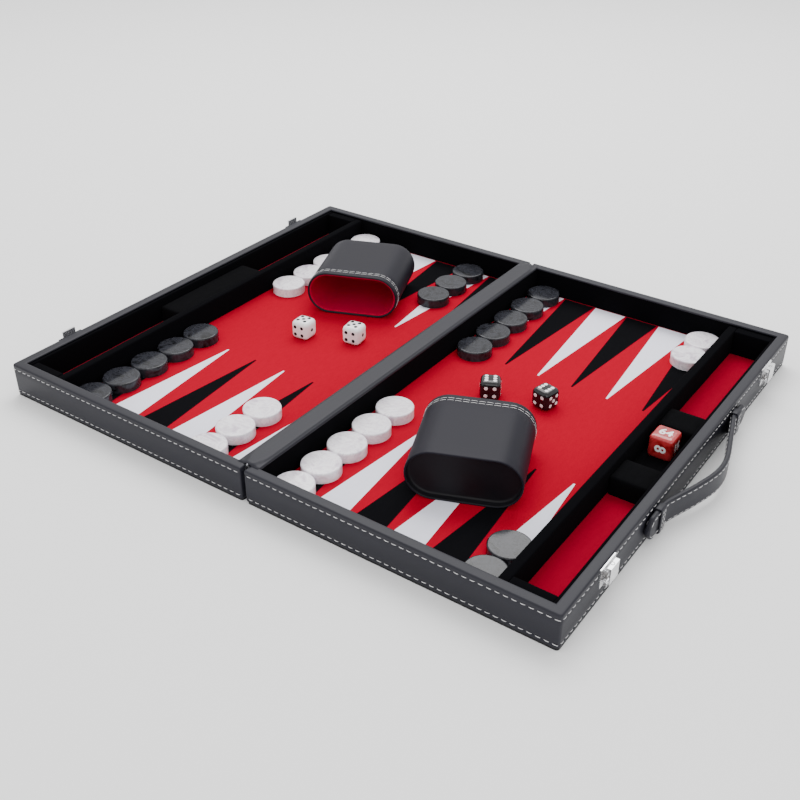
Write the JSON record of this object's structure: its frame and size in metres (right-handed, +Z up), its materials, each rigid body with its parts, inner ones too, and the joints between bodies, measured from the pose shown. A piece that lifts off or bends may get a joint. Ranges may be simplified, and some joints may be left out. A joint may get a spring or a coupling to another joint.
{
  "type": "backgammon case",
  "caption": "Folding attache-style backgammon case with felt playing fields, side troughs, two dice cups, dice, doubling cube and checkers.",
  "frame": {"origin": "centre of the opened case's bounding box, on the underside that rests on the table", "axes": "+X from the left half across the seam to the right half with the handle, +Y towards the back edge, +Z up out of the opened trays"},
  "size_m": [0.5814, 0.46, 0.0509],
  "materials": {
    "base_leatherette": "matte grained",
    "wood_board": "raw board",
    "wood_rail": "raw timber",
    "black_velvet": "short velvet nap",
    "block_velvet": "velvet over foam",
    "leatherette": "fine satin grain with off-white stitching",
    "white_felt": "smooth felt",
    "black_felt": "smooth felt",
    "red_felt": "short felt nap",
    "trough_red_felt": "short felt nap",
    "hinge_metal": "satin",
    "spring_steel": "drawn wire",
    "rivet_metal": "polished",
    "latch_chrome": "polished",
    "catch_leather": "satin grain",
    "handle_leather": "satin grain with stitched edges",
    "cup_leather": "smooth satin leather",
    "cup_felt": "felt",
    "ivory_plastic": "polished",
    "black_plastic": "polished",
    "red_pearl": "polished pearl marbling",
    "white_pearl": "polished pearl marbling",
    "black_pearl": "polished pearl marbling"
  },
  "bodies": {
    "right_tray": {"base_board_right": "wood_board", "base_cover_right": "base_leatherette", "black_points_right": "black_felt", "centre_rail_right": "wood_rail", "cube_well_block": "block_velvet", "divider_right": "black_velvet", "end_rail_right": "wood_rail", "handle_keepers": "handle_leather", "handle_strap": "handle_leather", "hinge_leaf_right": "hinge_metal", "hinge_pin": "hinge_metal", "hinge_strip_right": "leatherette", "inner_lining_right": "black_velvet", "latch_pins": "latch_chrome", "latch_plates": "latch_chrome", "latch_rivets": "rivet_metal", "latch_springs": "spring_steel", "leather_wrap_right": "leatherette", "playing_field_right": "red_felt", "side_rails_right": "wood_rail", "trough_felt_right": "trough_red_felt", "trough_frame_right": "black_velvet", "white_points_right": "white_felt"},
    "left_tray": {"base_board_left": "wood_board", "base_cover_left": "base_leatherette", "black_points_left": "black_felt", "catch_pads": "catch_leather", "catch_rivets": "rivet_metal", "catches": "latch_chrome", "centre_rail_left": "wood_rail", "divider_left": "black_velvet", "end_rail_left": "wood_rail", "hinge_leaf_left": "hinge_metal", "hinge_strip_left": "leatherette", "inner_lining_left": "black_velvet", "leather_wrap_left": "leatherette", "playing_field_left": "red_felt", "side_rails_left": "wood_rail", "trough_block_left": "block_velvet", "trough_felt_left": "trough_red_felt", "trough_frame_left": "black_velvet", "white_points_left": "white_felt"},
    "latch_lever_front": {"latch_lever_front": "latch_chrome"},
    "latch_lever_back": {"latch_lever_back": "latch_chrome"},
    "cup_right": {"cup_shell_right": "cup_leather", "cup_lining_right": "cup_felt"},
    "cup_left": {"cup_shell_left": "cup_leather", "cup_lining_left": "cup_felt"},
    "die_white_near": {"die_white_near": "ivory_plastic"},
    "die_white_far": {"die_white_far": "ivory_plastic"},
    "die_black_near": {"die_black_near": "black_plastic"},
    "die_black_far": {"die_black_far": "black_plastic"},
    "doubling_cube": {"doubling_cube": "red_pearl"},
    "checkers_white_a": {"checkers_white_a": "white_pearl"},
    "checkers_black_a": {"checkers_black_a": "black_pearl"},
    "checkers_white_b": {"checkers_white_b": "white_pearl"},
    "checkers_black_b": {"checkers_black_b": "black_pearl"},
    "checkers_black_c": {"checkers_black_c": "black_pearl"},
    "checkers_white_c": {"checkers_white_c": "white_pearl"},
    "checkers_white_d": {"checkers_white_d": "white_pearl"},
    "checkers_black_d": {"checkers_black_d": "black_pearl"}
  },
  "joints": [
    {"name": "fold", "type": "hinge", "parent": "right_tray", "child": "left_tray", "pos_m": [-0.01038, 0, 0.03225], "axis": [0, 1, 0], "range_deg": [0, 180]},
    {"name": "latch_front_pivot", "type": "hinge", "parent": "right_tray", "child": "latch_lever_front", "pos_m": [0.26982, -0.163, 0.0176], "axis": [0, 1, 0], "range_deg": [0, 22], "stiffness_Nm_per_rad": 0.02},
    {"name": "latch_back_pivot", "type": "hinge", "parent": "right_tray", "child": "latch_lever_back", "pos_m": [0.26982, 0.163, 0.0176], "axis": [0, 1, 0], "range_deg": [0, 22], "stiffness_Nm_per_rad": 0.02},
    {"name": "cup_right_lift", "type": "slide", "parent": "right_tray", "child": "cup_right", "axis": [0, 0, -1], "range_m": [-0.045, 0]},
    {"name": "cup_left_lift", "type": "slide", "parent": "left_tray", "child": "cup_left", "axis": [0, 0, -1], "range_m": [-0.045, 0]},
    {"name": "die_white_near_lift", "type": "slide", "parent": "left_tray", "child": "die_white_near", "axis": [0, 0, -1], "range_m": [-0.045, 0]},
    {"name": "die_white_far_lift", "type": "slide", "parent": "left_tray", "child": "die_white_far", "axis": [0, 0, -1], "range_m": [-0.045, 0]},
    {"name": "die_black_near_lift", "type": "slide", "parent": "right_tray", "child": "die_black_near", "axis": [0, 0, -1], "range_m": [-0.045, 0]},
    {"name": "die_black_far_lift", "type": "slide", "parent": "right_tray", "child": "die_black_far", "axis": [0, 0, -1], "range_m": [-0.045, 0]},
    {"name": "doubling_cube_lift", "type": "slide", "parent": "right_tray", "child": "doubling_cube", "axis": [0, 0, -1], "range_m": [-0.045, 0]},
    {"name": "checkers_white_a_lift", "type": "slide", "parent": "left_tray", "child": "checkers_white_a", "axis": [0, 0, -1], "range_m": [-0.045, 0]},
    {"name": "checkers_black_a_lift", "type": "slide", "parent": "left_tray", "child": "checkers_black_a", "axis": [0, 0, -1], "range_m": [-0.045, 0]},
    {"name": "checkers_white_b_lift", "type": "slide", "parent": "left_tray", "child": "checkers_white_b", "axis": [0, 0, -1], "range_m": [-0.045, 0]},
    {"name": "checkers_black_b_lift", "type": "slide", "parent": "left_tray", "child": "checkers_black_b", "axis": [0, 0, -1], "range_m": [-0.045, 0]},
    {"name": "checkers_black_c_lift", "type": "slide", "parent": "right_tray", "child": "checkers_black_c", "axis": [0, 0, -1], "range_m": [-0.045, 0]},
    {"name": "checkers_white_c_lift", "type": "slide", "parent": "right_tray", "child": "checkers_white_c", "axis": [0, 0, -1], "range_m": [-0.045, 0]},
    {"name": "checkers_white_d_lift", "type": "slide", "parent": "right_tray", "child": "checkers_white_d", "axis": [0, 0, -1], "range_m": [-0.045, 0]},
    {"name": "checkers_black_d_lift", "type": "slide", "parent": "right_tray", "child": "checkers_black_d", "axis": [0, 0, -1], "range_m": [-0.045, 0]}
  ]
}
